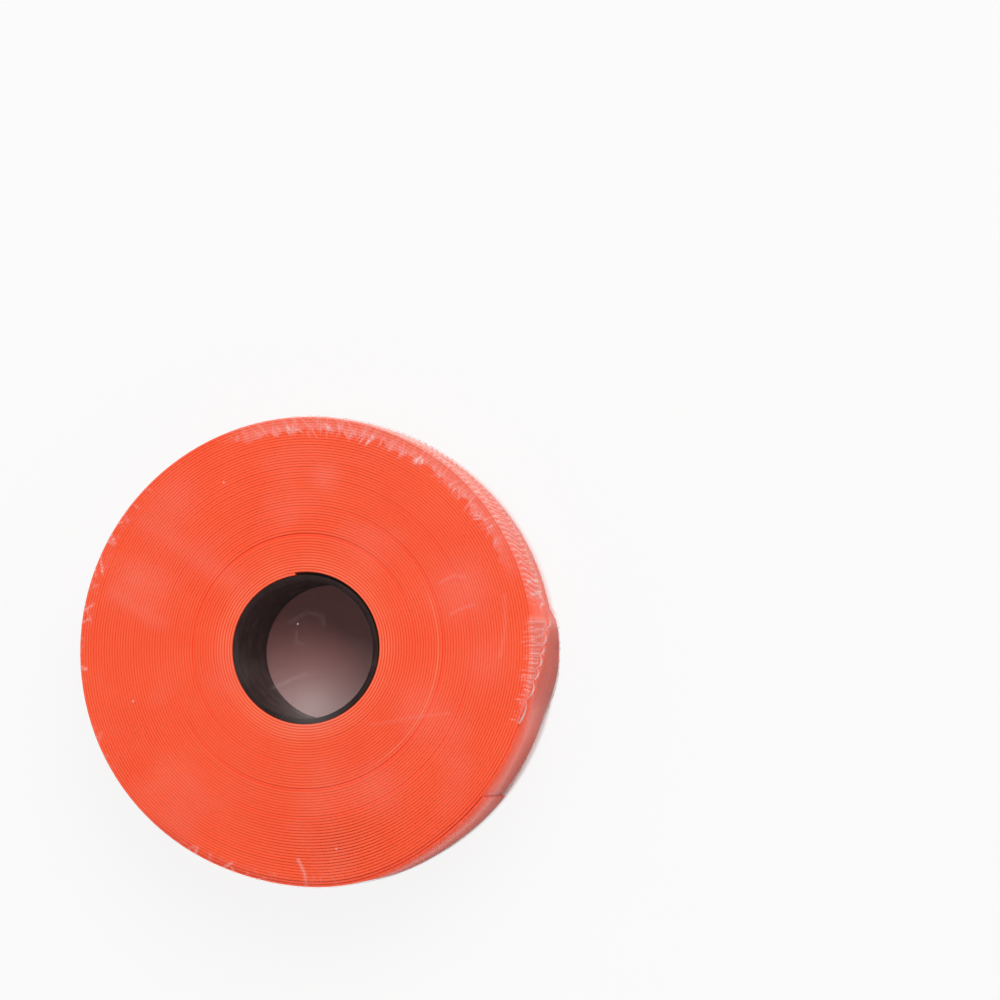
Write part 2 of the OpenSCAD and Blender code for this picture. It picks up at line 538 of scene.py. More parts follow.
def winding_outline():
    """Radius of the outermost turn at every half degree, eased where it steps in at the outer end."""
    last_turn = WINDING_LENGTH - 2 * math.pi * WINDING_RADIUS
    half, angle = half_turns(np.linspace(last_turn, WINDING_LENGTH, 2 * OUTLINE_COUNT + 1))
    direction = angle + half % 2 * math.pi
    radius = FIRST_RADIUS + half * PITCH / 2 + STRIP_THICKNESS
    x, y = half % 2 * PITCH / 2 + radius * np.cos(direction), radius * np.sin(direction)
    grid = np.radians(np.arange(OUTLINE_COUNT) * 360 / OUTLINE_COUNT)
    at = np.arctan2(y, x) + INNER_END_ANGLE
    reach = np.interp(grid, at % (2 * math.pi), np.hypot(x, y), period=2 * math.pi)
    reach = np.max([np.roll(reach, k) for k in range(-WIDEN_STEPS, WIDEN_STEPS + 1)], axis=0)
    steps = np.arange(-EASE_STEPS, EASE_STEPS + 1)
    weights = bell(steps / EASE_WIDTH)
    return grid, sum(w * np.roll(reach, k) for k, w in zip(steps, weights / weights.sum()))


OUTLINE = winding_outline()


def film_share(angle):
    """Radius of the film at an angle round the roll, as a share of its largest."""
    return (np.interp(angle, *OUTLINE, period=2 * math.pi) + FILM_GAP) / FILM_RADIUS


def film_ear(angle, height):
    """How far the film leans out at the loose fold on the right."""
    return EAR_SHARE * ear_flare(angle, height, EAR_BEYOND)


def film_angles(fine_to):
    """Angles of the columns of a sheet, closer together where the folds are fine."""
    round_again = MIDDLE_FROM + 2 * math.pi - COARSE_STEP / 2
    return np.concatenate([np.arange(MIDDLE_FROM, FINE_FROM, MIDDLE_STEP),
                           np.arange(FINE_FROM, fine_to, FINE_STEP),
                           np.arange(fine_to, round_again, COARSE_STEP)])


def film_profile(side):
    """Rings of a sheet from the axis out and down its side, for a face at height 0: radius, height,
    outward normal and the way along the film, from the middle of the rim."""
    face = np.arange(FACE_STEP, NEAR_RIM, FACE_STEP) * MM
    near_rim = np.arange(NEAR_RIM * MM, FLAT_RADIUS, NEAR_RIM_STEP * MM)
    rings = []
    for radius in np.concatenate([face, near_rim]):
        rings.append((radius, 0.0, 0.0, 1.0, radius - FILM_RADIUS))
    for k in range(RIM_STEPS + 1):
        a = math.pi / 2 * (1 - k / RIM_STEPS)
        rings.append((FLAT_RADIUS + FILM_RIM * math.cos(a), FILM_RIM * (math.sin(a) - 1),
                      math.cos(a), math.sin(a), (k / RIM_STEPS - 0.5) * FILM_RIM))
    for drop in np.linspace(FILM_RIM, side, SIDE_RINGS)[1:]:
        rings.append((FILM_RADIUS, -drop, 1.0, 0.0, drop))
    return np.array(rings).T


def film_grid(top, side, up):
    """Polar grid of a sheet before it is folded; depth is the way down from the top of the film."""
    radius, height, normal_r, normal_z, along = film_profile(side)
    angle, r = np.meshgrid(film_angles(UPPER_FINE_TO if up > 0 else LOWER_FINE_TO), radius, indexing="ij")
    z, n_r, n_z, way = (np.broadcast_to(v, r.shape) for v in (height, normal_r, normal_z, along))
    return SimpleNamespace(
        upper=up > 0, top=top, up=up, angle=angle, r=r, z=z, n_r=n_r, n_z=n_z, way=way,
        x=r * np.cos(angle), y=r * np.sin(angle), from_weld=side - way, depth=FILM_TOP - top - up * z,
        on_side=smoothstep(-0.3 * MM, 0.6 * MM, way), on_face=smoothstep(0, -3 * MM, way))


# Angle of one bunch of gathers, and the step from bunch to bunch, in degrees
BUNCH_AT, BUNCH_SPACING = 46, 12.7


def gathering(angle):
    """How tightly the upper sheet is gathered round its rim."""
    upper_right = zone(angle, 14, 36, 98, 118)
    left = 0.3 * zone(angle, 133, 146, 172, 186)
    lower = 0.3 * zone(angle, 238, 250, 276, 292)
    return np.max([upper_right, left, lower, np.full(np.shape(angle), 0.06)], axis=0)


def even_gathering(angle):
    """The lower sheet is gathered lightly all round."""
    return 0.35 + 0.15 * np.cos(3 * angle)


def side_gathering(angle):
    """How tightly the upper sheet is gathered down its side."""
    return np.maximum(zone(angle, 52, 70, 80, 112), 0.5 * gathering(angle))


def banding(angle):
    """How milky the rim of the upper sheet is where it is gathered closely."""
    return zone(angle, 14, 36, 100, 114)


def bunches(angle):
    """Where the gathers bunch up into short bright folds."""
    turns = (np.degrees(angle) - BUNCH_AT) / BUNCH_SPACING
    return gathering(angle) * smoothstep(0.1, 0.75, np.cos(turns * 2 * math.pi))


def stroking(angle):
    """Where short single folds cross the rim."""
    left = np.maximum(zone(angle, 132, 138, 184, 190), 0.8 * zone(angle, 196, 200, 208, 212))
    return np.maximum(left, 0.8 * zone(angle, 232, 240, 258, 264))


def fringing(angle):
    """Where a comb of fine folds hangs between the rim and the end of the weld."""
    return zone(angle, -21, -18, 6, 9)


def toothing(angle):
    """Where short broad folds hang from the rim on the lower right."""
    return zone(angle, 250, 262, 335, 345)


def welding(angle):
    """Where the two sheets are welded in a fin."""
    return zone(angle, FIN_FROM, FIN_FROM + 4, FIN_TO - 5, FIN_TO)


def upper_lean(at):
    """Lean of the fine folds and its spread: they lean over near +Y."""
    return 0.6 * float(smoothstep(70, 95, math.degrees(at) % 360)), 0.45


def steady_lean(mean, spread):
    """Lean of folds that is the same all round the rim."""
    return lambda at: (mean, spread)


SLANTED, LITTLE = steady_lean(-0.3, 0.1), steady_lean(0.0, 0.2)
UPRIGHT, CROSSED = steady_lean(0.0, 0.06), steady_lean(0.0, 0.9)
# A kind of fold, with sizes in mm; floating is the share of its folds that stop short of the rim
Folds = namedtuple("Folds", "seed spacing width lean reach_in reach_down strength floating", defaults=(0.0,))
UPPER_FOLDS = {
    "pleats": Folds(21, 1.6, 0.38, SLANTED, 0.7, 9, side_gathering),
    "streaks": Folds(22, 0.36, 0.17, upper_lean, 4.2, 2.5, gathering, 0.6),
    "weld_folds": Folds(23, 1.7, 0.3, LITTLE, 4, 1, welding),
    "dashes": Folds(27, 0.9, 0.2, upper_lean, 4.2, 2.5, bunches, 1.0),
    "strokes": Folds(28, 2.6, 0.24, CROSSED, 2.2, 2, stroking),
    "comb": Folds(29, 0.62, 0.18, UPRIGHT, 2.6, 50, fringing),
    "teeth": Folds(31, 1.3, 0.45, SLANTED, 0.4, 8, toothing),
}
LOWER_FOLDS = {
    "pleats": UPPER_FOLDS["pleats"]._replace(seed=41, lean=LITTLE, strength=even_gathering),
    "streaks": UPPER_FOLDS["streaks"]._replace(seed=42, lean=LITTLE, strength=even_gathering),
    "weld_folds": UPPER_FOLDS["weld_folds"]._replace(seed=43),
}
# Folds fainter than this are left out, and none sweeps further round the rim than this
FAINTEST_FOLD = 0.04
FOLD_SWEEP = math.radians(9)


def ridges(angle, way, kind):
    """Folds of one kind, from 0 to 1, on a grid of angles and ways along the film."""
    random = np.random.default_rng(kind.seed)
    total = np.zeros_like(angle)
    count = round(2 * math.pi * FILM_RADIUS / (kind.spacing * MM))
    for k in range(count):
        at = 2 * math.pi * (k + random.uniform(-0.4, 0.4)) / count
        slope = random.normal(*kind.lean(at))
        wide = kind.width * MM * random.uniform(0.7, 1.4)
        size = random.uniform(0.3, 1.0)
        inwards = kind.reach_in * MM * random.uniform(0.5, 1.2)
        downwards = kind.reach_down * MM * random.uniform(0.5, 1.2)
        hangs = random.uniform() < kind.floating
        held = float(kind.strength(np.array(at)))
        if held * size < FAINTEST_FOLD:
            continue
        inwards *= 0.4 + 0.6 * held
        columns = np.abs(turned(angle[:, 0], at)) < FOLD_SWEEP
        w = way[columns]
        across = turned(angle[columns], at) * FILM_RADIUS - slope * w
        along = smoothstep(-inwards, -0.7 * inwards, w)
        along = along * (smoothstep(-0.5 * inwards, -0.7 * inwards, w) if hangs
                         else smoothstep(downwards, 0.3 * downwards, w))
        total[columns] = np.maximum(total[columns], held * size * bell(across / wide) * along)
    return total


def undulation(x, y, seed, longest, shortest, waves):
    """Gentle waves over a surface, mostly between -1 and 1."""
    random = np.random.default_rng(seed)
    total = np.zeros_like(x)
    for _ in range(waves):
        heading = random.uniform(0, 2 * math.pi)
        length = random.uniform(shortest, longest)
        phase = random.uniform(0, 2 * math.pi)
        total += np.cos(2 * math.pi / length * (x * math.cos(heading) + y * math.sin(heading)) + phase)
    return total / math.sqrt(waves * 2)


def side_waves(angle, way, seed, longest, shortest, waves):
    """Gentle waves round the side, mostly between -1 and 1."""
    random = np.random.default_rng(seed)
    total = np.zeros_like(angle)
    for _ in range(waves):
        heading = random.uniform(0, 2 * math.pi)
        number = 2 * math.pi / random.uniform(shortest, longest)
        phase = random.uniform(0, 2 * math.pi)
        whole = round(number * FILM_RADIUS * math.cos(heading))
        total += np.cos(whole * angle + number * math.sin(heading) * way + phase)
    return total / math.sqrt(waves * 2)


def line_distance(x, y, line):
    """Distance of points from a line of straight lengths."""
    nearest = np.full(x.shape, np.inf)
    for (ax, ay), (bx, by) in zip(line, line[1:]):
        dx, dy = bx - ax, by - ay
        t = np.clip(((x - ax) * dx + (y - ay) * dy) / (dx * dx + dy * dy), 0, 1)
        nearest = np.minimum(nearest, np.hypot(x - ax - t * dx, y - ay - t * dy))
    return nearest


# Creases, and broad soft streaks of painted sheen, on the face of the upper sheet: points in mm, milkiness
# and width in mm
FACE_CREASES_AND_SHEEN = [
    ([(41.8, 10.8), (42.1, 5.5), (41.7, 2.0), (40.8, -1.9)], 0.06, 0.3),
    ([(28.2, 13.4), (31.3, 15.0), (33.8, 14.5)], 0.06, 0.3),
    ([(30.7, 7.1), (33.0, 8.2), (35.5, 9.0)], 0.06, 0.3),
    ([(-1.2, -43.0), (0.2, -45.5), (0.5, -48.2)], 0.2, 0.3),
    ([(14.0, -15.5), (22.0, -14.2), (30.5, -13.2)], 0.04, 0.3),
    ([(-6.9, -8.0), (-3.0, -6.2), (0.8, -5.0)], 0.05, 0.3),
    ([(-3.4, 5.5), (0.5, 7.6), (3.5, 7.0), (4.0, 5.0)], 0.025, 0.3),
    ([(-1.7, 3.6), (-2.0, 1.6), (0.2, 1.0)], 0.025, 0.3),
    ([(-34.4, 26.6), (-25.0, 20.5), (-15.1, 14.4)], 0.03, 2.6),
    ([(-40.6, 11.7), (-30.9, 5.6)], 0.032, 1.8),
]
# Soft pale patches of painted sheen on the face: place and radius in mm, milkiness
FACE_SHEEN_PATCHES = [((-28, 31), 5, 0.04), ((-35, 14), 6, 0.03), ((33, 12), 6, 0.05), ((25, -13), 6, 0.04),
                ((1.5, -11.5), 4.5, 0.09), ((38, -3), 5, 0.03), ((4, 35.5), 3, 0.05), ((15, -28), 5, 0.04)]


def face_haze_and_sheen(x, y):
    """Milkiness of the creases, and painted sheen of the soft streaks and patches, on the upper face."""
    haze = np.zeros_like(x)
    for line, milk, width in FACE_CREASES_AND_SHEEN:
        haze += milk * bell(line_distance(x / MM, y / MM, line) / width)
    for (px, py), size, milk in FACE_SHEEN_PATCHES:
        haze += milk * bell(np.hypot(x / MM - px, y / MM - py) / size)
    return haze


# End of the weld, where it leaves the fin and climbs to the rim: angle in degrees, way down in mm
WELD_END = [(FIN_FROM, 12.85), (7.0, 12.2), (5.4, 10.4), (2.8, 8.0), (1.0, 6.8), (-0.6, 5.6), (-2.4, 4.3),
            (-4.3, 3.2), (-6.2, 1.8), (-8.2, 0.6), (-11.2, -0.1), (-15, -0.4), (-19.3, -0.9)]
# Where the film bulges below the end of the weld: angle in degrees, way down from the top in mm
LOBES = [(5.7, 13.0), (1.5, 9.5), (-2.4, 7.5), (-7.0, 3.4), (-10.5, 4.2), (-15.2, 1.4)]
LOBE_REACH, LOBE_DROP = 0.85 * MM, 2.4 * MM
# A milky ring round each dome is painted as the highlight on its edge: its place as a share of the dome's
# reach, and its width
LOBE_RING, LOBE_RING_WIDTH = 0.97, 0.1
# Creases near the loose fold, across the side: points as angle in degrees and way down from the top in mm
SIDE_CREASES = [
    [(13.2, 1.0), (13.5, 6.0), (13.9, 12.4)],
    [(14.6, 11.4), (13.8, 12.4), (13.1, 16.0), (12.4, 17.6)],
    [(12.1, 14.6), (11.3, 12.6), (10.3, 10.2)],
    [(16.6, 2.0), (17.3, 9.0), (17.0, 14.0)],
]
CREASE_WIDTH = 0.36
# Middle of the ripples in the loose fold: angle in degrees, way down from the top in mm
RIPPLES_AT = (-6.3, 13.5)
RIPPLE_SPACING = 0.8 * MM
RIPPLE_SQUASH = 0.22
# Folds that slant down the side like the strands of a rope
STRAND_SPACING = 1.3 * MM
STRAND_LEAN = 0.09
STRAND_WOBBLE = 1.5


def below_weld_line(angle, way):
    """How far a place lies below the end of the weld."""
    degrees, ways = np.array(WELD_END[::-1]).T
    return way - np.interp(np.degrees(turned(angle, 0)), degrees, ways) * MM


def above_weld(angle, way):
    """1 between the rim and the end of the weld, 0 below it and elsewhere."""
    return zone(angle, -21, -19, 6.5, 9) * smoothstep(0.3 * MM, -0.2 * MM, below_weld_line(angle, way))


def below_weld(angle, depth):
    """1 in the loose fold below the end of the weld."""
    return zone(angle, -24, -6, 2, 12) * smoothstep(0.8 * MM, 7 * MM, below_weld_line(angle, depth))


def lobes(angle, depth):
    """Domes of film below the end of the weld, and the rings round them painted as highlights on their
    edges, from 0 to 1.
    """
    dome, ring = np.zeros_like(angle), np.zeros_like(angle)
    for degrees, low in LOBES:
        along = turned(angle, math.radians(degrees)) * FILM_RADIUS / LOBE_REACH
        away = np.hypot(along, (depth - low * MM) / LOBE_DROP)
        dome = np.maximum(dome, np.sqrt(np.clip(1 - away ** 2, 0, 1)))
        ring = np.maximum(ring, bell((away - LOBE_RING) / LOBE_RING_WIDTH))
    return dome, ring


def ripples(angle, depth, bend):
    """Faint oval ripples in the loose fold on the right, from 0 to 1."""
    along = turned(angle, math.radians(RIPPLES_AT[0])) * FILM_RADIUS
    away = np.hypot(along, RIPPLE_SQUASH * (depth - RIPPLES_AT[1] * MM)) * (1 + 0.25 * bend)
    crest = (0.5 + 0.5 * np.cos(2 * math.pi * away / RIPPLE_SPACING)) ** 2
    return crest * smoothstep(5 * MM, 1 * MM, away)


def side_creases(angle, depth):
    """Creases across the side near the loose fold, from 0 to 1."""
    around = turned(angle, 0) * FILM_RADIUS / MM
    total = np.zeros_like(angle)
    for crease in SIDE_CREASES:
        line = [(math.radians(degrees) * FILM_RADIUS / MM, low) for degrees, low in crease]
        total = np.maximum(total, bell(line_distance(around, depth / MM, line) / CREASE_WIDTH))
    return total


def roping(angle, way, depth):
    """Where the side shows folds like a rope."""
    fading = smoothstep(25 * MM, 8 * MM, depth)
    return zone(angle, 9, 16, 58, 76) * smoothstep(-0.5 * MM, 0.3 * MM, way) * fading


def rope(angle, depth):
    """Strands of the rope, from 0 to 1."""
    place = turned(angle, math.pi / 4) * FILM_RADIUS + STRAND_LEAN * depth
    wobble = STRAND_WOBBLE * side_waves(angle, depth, 30, 16 * MM, 6 * MM, 8)
    return (0.5 + 0.5 * np.cos(2 * math.pi * place / STRAND_SPACING + wobble)) ** 1.4


# How far the folds lift the film, in mm, and how milky they and the marks on it are
FOLD_LIFT = {"pleats": 0.27, "streaks": 0.05, "dashes": 0.06, "strokes": 0.06, "comb": 0.12, "teeth": 0.08,
             "strands": 0.3}
FOLD_HAZE = {"pleats": 0.28, "streaks": 0.22, "dashes": 0.46, "strokes": 0.46, "comb": 0.2, "teeth": 0.08,
             "weld_folds": 0.06, "roped": 0.03, "strands": 0.46, "ring": 0.12, "creased": 0.2,
             "above_weld": 0.16, "band": 0.13, "tail": 0.05}
WELD_LIFT = 0.2 * MM
LOBE_LIFT = 0.42 * MM
# Waves of the face and of the side, and how deep the film sags into the bore
WAVE_LIFT = 0.05 * MM
BORE_SAG = 0.3 * MM
# How much of the shoulder's drop and of the fin's width the film follows, and its room at the loose turns
SHOULDER_SHARE = 0.75
FIN_SHARE = 0.8
LOOSE_ROOM = 0.05 * MM
# Milky band along the gathered rim: how far in it reaches, and how ragged it is, in mm
BAND_REACH, BAND_RAGGED = 3.4, 0.9
# Milkiness and tone of larger places; a tone of 0 is a painted glow of the strips behind the milk, 0.4 is
# white and 1 is dark; the dark tones of the shaded side and of the loose fold are painted shade
VEIL_HAZE = 0.22
FOLD_SHADE_HAZE, FOLD_SHADE_TONE = 0.2, 0.84
SHADE_HAZE, SHADE_TONE = 0.16, 0.74
SIDE_HAZE, SIDE_TONE = 0.03, 0.14
COMB_TONE = 0.6
FACE_TONE = 0.4
DOME_CLEARNESS = 0.85
MOST_HAZE = 0.9
# Painted reddish light over the bore: its strength and soft edge, on the upper sheet and on the lower one
UPPER_BORE_LIGHT, UPPER_BORE_LIGHT_EDGE = 0.5, 1 * MM
LOWER_BORE_LIGHT, LOWER_BORE_LIGHT_EDGE = 0.8, 12 * MM


def film_folds(grid, kinds, seed):
    """Folds, waves and marks on a sheet by name, the waves from -1 to 1 and the rest from 0 to 1."""
    angle, way, depth, on_side = grid.angle, grid.way, grid.depth, grid.on_side
    folds = SimpleNamespace(**dict.fromkeys(FOLD_HAZE, 0.0))
    for name, kind in kinds.items():
        setattr(folds, name, ridges(angle, -grid.from_weld if name == "weld_folds" else way, kind))
    if grid.upper:
        above = above_weld(angle, way)
        folds.comb = above * folds.comb
        folds.above_weld = above * smoothstep(-1.4 * MM, 0, way)
    folds.roped = roping(angle, way, depth)
    folds.strands = folds.roped * rope(angle, depth)
    folds.dome, folds.ring = (on_side * v for v in lobes(angle, depth))
    folds.creased = on_side * side_creases(angle, depth)
    folds.tail = on_side * bell(turned(angle, TAIL_LINE) / TAIL_LINE_WIDTH)
    held = banding(angle) if grid.upper else 0.5 * even_gathering(angle)
    ragged = side_waves(angle, 0 * way, seed + 2, 9 * MM, 1.5 * MM, 8)
    inner = -(BAND_REACH + BAND_RAGGED * ragged) * MM
    folds.band = held * smoothstep(inner, inner + 0.7 * MM, way) * smoothstep(10 * MM, 3 * MM, way)
    folds.wave = undulation(grid.x, grid.y, seed, 30 * MM, 9 * MM, 14)
    folds.smoke = side_waves(angle, 1.6 * way, seed + 1, 14 * MM, 5 * MM, 10)
    folds.ripple = on_side * ripples(angle, depth, folds.smoke)
    low = depth / FILM_TOP
    # Painted shade: grey milk down the lower right side, deeper towards the floor
    folds.shaded = on_side * zone(angle, -125, -85, -30, 0) * smoothstep(0.05, 0.7, low)
    folds.veiled = on_side * zone(angle, 10, 22, 100, 116) * smoothstep(0.1, 0.5, low)
    # Painted shade: darker milk in the loose fold below the weld
    folds.loose_fold = on_side * below_weld(angle, depth) * (1 - folds.dome)
    return folds


def film_shape(grid, folds):
    """Points of a sheet, drawn in round the roll and lifted by its folds."""
    angle, way = grid.angle, grid.way
    lift = WAVE_LIFT * (1 + np.clip(folds.wave, -1, 1)) * grid.on_face
    lift = lift - BORE_SAG * smoothstep(CORE_RADIUS, 0.5 * CORE_RADIUS, grid.r)
    lift = lift + MM * sum(high * vars(folds)[name] for name, high in FOLD_LIFT.items())
    # The lower sheet lies on the floor, so only its side has room for folds
    lift = lift if grid.upper else lift * grid.n_r
    lift = lift + WELD_LIFT * folds.weld_folds + LOBE_LIFT * folds.dome
    lift = lift + WAVE_LIFT * (1 + np.clip(folds.smoke, -1, 1)) * smoothstep(0, 4 * MM, way)
    tail = TAIL_SHARE * TAIL_LIFT * bell(turned(angle, TAIL_ANGLE) / TAIL_SPREAD)
    ear = film_ear(angle, grid.top + grid.up * grid.z)
    fin = FIN_SHARE * FIN_WIDTH * welding(angle) * smoothstep(0.8 * MM, 0, grid.from_weld)
    bulge = (LOOSE_BULGE + LOOSE_ROOM) * loose(angle) * smoothstep(-5 * MM, -0.4 * MM, way)
    reach = grid.r * film_share(angle) + grid.n_r * (lift + tail + ear + fin) + bulge
    if grid.upper:
        lift = lift - SHOULDER_SHARE * shoulder(angle, grid.r) * grid.n_z
    height = grid.top + grid.up * (grid.z + grid.n_z * lift)
    return np.stack([reach * np.cos(angle), reach * np.sin(angle), height], axis=-1)


def film_haze(grid, folds):
    """Milkiness of a sheet."""
    haze = sum(milk * vars(folds)[name] for name, milk in FOLD_HAZE.items())
    haze = haze + VEIL_HAZE * folds.veiled * (1 - 0.7 * folds.roped)
    # Painted shade in the loose fold, lighter along its ripples
    haze = haze + folds.loose_fold * (FOLD_SHADE_HAZE - 0.05 * folds.ripple)
    haze = haze + folds.shaded * (SHADE_HAZE + 0.03 * folds.smoke)
    haze = haze * (1 - DOME_CLEARNESS * folds.dome * (folds.ring < 0.3))
    haze = haze + SIDE_HAZE * smoothstep(0.6 * MM, 4.5 * MM, grid.way)
    if grid.upper:
        # Creases and painted sheen on the face
        haze = haze + face_haze_and_sheen(grid.x, grid.y) * smoothstep(1 * MM, 0, grid.way)
    return np.clip(haze, 0, MOST_HAZE)


def film_tone(grid, folds):
    """Tone of the milk in a sheet, with a painted glow of the strips where it is low and painted shade on
    the shaded side and in the loose fold.
    """
    bright = np.clip(folds.dashes + folds.strokes + folds.creased, 0, 1)
    # Low tones are a painted glow of the strips behind the milk; between the rope's strands the milk is
    # greyer, a painted shade in the folds
    tone = SIDE_TONE - 0.1 * folds.pleats + 0.26 * bright + 0.1 * (folds.roped - folds.strands)
    # The veil on the upper right takes more of the painted glow of the strips
    tone = tone * (1 - 0.5 * folds.veiled)
    tone = tone + folds.above_weld * (COMB_TONE - 0.2 * folds.comb - tone)
    tone = tone + folds.shaded * (SHADE_TONE - tone)
    tone = tone + folds.loose_fold * (FOLD_SHADE_TONE - tone)
    return np.clip(np.maximum(tone, FACE_TONE * grid.on_face), 0, 1)


def film_painted_bore_light(grid):
    """Painted reddish light in a sheet over the bore, stronger towards +Y."""
    most, edge = (UPPER_BORE_LIGHT, UPPER_BORE_LIGHT_EDGE) if grid.upper else (LOWER_BORE_LIGHT, LOWER_BORE_LIGHT_EDGE)
    painted_bore_light = most * (0.3 + 0.7 * smoothstep(-20 * MM, 10 * MM, grid.y))
    return painted_bore_light * smoothstep(CORE_RADIUS + edge, CORE_RADIUS - 2 * MM, grid.r)


def film_sheet(name, node, top, side, up, kinds, seed):
    """One sheet of film, shrunk round a face of the roll; up is 1 or -1."""
    grid = film_grid(top, side, up)
    folds = film_folds(grid, kinds, seed)
    shape = film_shape(grid, folds)
    centre = [[0, 0, float(shape[:, 0, 2].mean())]]
    points = np.concatenate([shape.reshape(-1, 3), centre])
    index = np.arange(grid.r.size).reshape(grid.r.shape)
    following = np.roll(index, -1, axis=0)
    quads = np.stack([index[:, :-1], index[:, 1:], following[:, 1:], following[:, :-1]], axis=-1)
    faces = quads.reshape(-1, 4).tolist()
    faces += [(index.size, int(a), int(b)) for a, b in zip(index[:, 0], following[:, 0])]
    if up < 0:
        faces = [face[::-1] for face in faces]
    piece = mesh_piece(name, points, faces, FILM_FINISH, node)
    # Painted reddish light over the bore, carried by the sheet
    painted_bore_light = film_painted_bore_light(grid)
    float_attribute(piece, "haze", np.append(film_haze(grid, folds), 0))
    float_attribute(piece, "tone", np.append(film_tone(grid, folds), FACE_TONE))
    float_attribute(piece, "painted_bore_light", np.append(painted_bore_light, painted_bore_light[0, 0]))
    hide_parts(node)


UPPER_SIDE = FILM_TOP - WELD_HEIGHT - WELD_GAP
LOWER_SIDE = WELD_HEIGHT - WELD_GAP - FILM_BOTTOM
film_sheet("film_upper", "wrap_upper", FILM_TOP, UPPER_SIDE, 1, UPPER_FOLDS, 24)
film_sheet("film_lower", "wrap_lower", FILM_BOTTOM, LOWER_SIDE, -1, LOWER_FOLDS, 44)


# Weld
BEAD_SIDES = 8
# Points of the bead: step in degrees along the fin, points per length of the climb and per curl
BEAD_STEP = 0.35
CLIMB_POINTS = 12
CURL_POINTS = 20
# The bead starts to climb in curls between these angles in degrees, and draws in to the film
CLIMB_FROM, CLIMB_TO = 9, 5
DRAW_IN = 0.3
BEAD_KNOTS = 512
BEAD_ROOM = 0.25 * MM
RIM_ROOM = 0.2 * MM
CURL_REACH, CURL_DIP, CURL_SWAY = 0.7 * MM, 0.2 * MM, 0.2 * MM
# Thickness of the bead along the fin, as a share of its radius, and its milkiness and tone
BEAD_SHARE = 0.38
BEAD_HAZE, BEAD_TONE = 0.1, 0.54


def weld_line():
    """Middle line of the trimmed bead: angle, way down from the rim and distance out from the film."""
    line = []
    for degrees in np.arange(FIN_TO, FIN_FROM, -BEAD_STEP):
        line.append((degrees, (FILM_TOP - WELD_HEIGHT) / MM, FIN_WIDTH))
    for (a, w), (b, v) in zip(WELD_END, WELD_END[1:]):
        out = FIN_WIDTH * max(0.0, 1 - DRAW_IN * (FIN_FROM - a))
        for t in np.arange(0, 1, 1 / CLIMB_POINTS):
            line.append((a + t * (b - a), w + t * (v - w), out))
    degrees, way, out = np.array(line).T
    return degrees, way * MM, out


def bead_frame(middle, outward):
    """Two directions across a line of points, the second one facing outward."""
    ahead = np.gradient(middle, axis=0)
    ahead /= np.linalg.norm(ahead, axis=1, keepdims=True)
    across = np.cross(ahead, outward)
    across /= np.linalg.norm(across, axis=1, keepdims=True)
    return across, np.cross(across, ahead)


def bead_faces(count):
    """Faces of a closed tube with a count of rings."""
    faces = []
    for i in range(count - 1):
        a, b = i * BEAD_SIDES, (i + 1) * BEAD_SIDES
        for j in range(BEAD_SIDES):
            k = (j + 1) % BEAD_SIDES
            faces.append((a + j, a + k, b + k, b + j))
    last = (count - 1) * BEAD_SIDES
    faces.append(tuple(range(BEAD_SIDES))[::-1])
    faces.append(tuple(range(last, last + BEAD_SIDES)))
    return faces


def weld_bead():
    """Trimmed bead along the weld, in curls where the film drew up as it shrank."""
    degrees, way, out = weld_line()
    angle = np.radians(degrees)
    run = np.arange(len(angle))
    climbing = smoothstep(CLIMB_FROM, CLIMB_TO, degrees)
    curl = run / CURL_POINTS
    arch = np.abs(np.sin(math.pi * curl + 0.5 * wander(curl, 61, BEAD_KNOTS)))
    fuller = 0.1 * arch + 0.28 * arch ** 4 + 0.1 * wander(run / 4, 62, BEAD_KNOTS)
    thick = BEAD_RADIUS * (BEAD_SHARE + climbing * fuller)
    on_side = smoothstep(-0.1 * MM, 0.4 * MM, way)
    radius = FILM_RADIUS * film_share(angle) + out + np.minimum(way, 0) + BEAD_ROOM * on_side
    radius = radius + (LOOSE_BULGE * loose(angle) + film_ear(angle, FILM_TOP - way)) * on_side
    radius = radius + climbing * (CURL_REACH * arch ** 0.8 - CURL_DIP)
    angle = angle + climbing * CURL_SWAY / FILM_RADIUS * wander(run / 8, 64, BEAD_KNOTS)
    height = FILM_TOP - np.maximum(way, 0) + RIM_ROOM * (1 - on_side)
    middle = np.stack([radius * np.cos(angle), radius * np.sin(angle), height], axis=-1)
    outward = np.stack([np.cos(angle), np.sin(angle), 0.3 * (1 - on_side)], axis=-1)
    across, above = bead_frame(middle, outward)
    rings = []
    for k in range(BEAD_SIDES):
        a = 2 * math.pi * k / BEAD_SIDES
        rings.append(middle + thick[:, None] * (math.cos(a) * across + math.sin(a) * above))
    points = np.stack(rings, axis=1).reshape(-1, 3)
    piece = mesh_piece("weld_bead", points, bead_faces(len(run)), FILM_FINISH, "wrap_upper")
    milkier = 0.06 + 0.3 * arch ** 2 + 0.1 * wander(run / 4.5, 63, BEAD_KNOTS)
    haze = np.clip(BEAD_HAZE + climbing * milkier, 0.05, 0.8)
    float_attribute(piece, "haze", np.repeat(haze, BEAD_SIDES))
    float_attribute(piece, "tone", np.full(len(points), BEAD_TONE))


weld_bead()


# Floor, lights and camera
FLOOR_SIZE = 6
# Clear of the roll, the camera sees the floor as a pale backdrop with a faint shadow
CLEAR_FROM, CLEAR_TO = 47.9 * MM, 48.6 * MM
BACKDROP_SHARE = 0.9
KEY_PLACE = (0.3, 0.65, 0.95)
KEY_SIZE = 0.8
KEY_LEVEL = 4.5


def grey(level):
    return level, level, level


def backdrop_rays(nodes):
    """1 for the rays that see the backdrop: from the camera, or off or through glossy things."""
    path = new_node(nodes, "LightPath")
    seen = math_node(nodes, "MAXIMUM", path.outputs["Is Camera Ray"], path.outputs["Is Glossy Ray"])
    return math_node(nodes, "MAXIMUM", seen, path.outputs["Is Transmission Ray"])


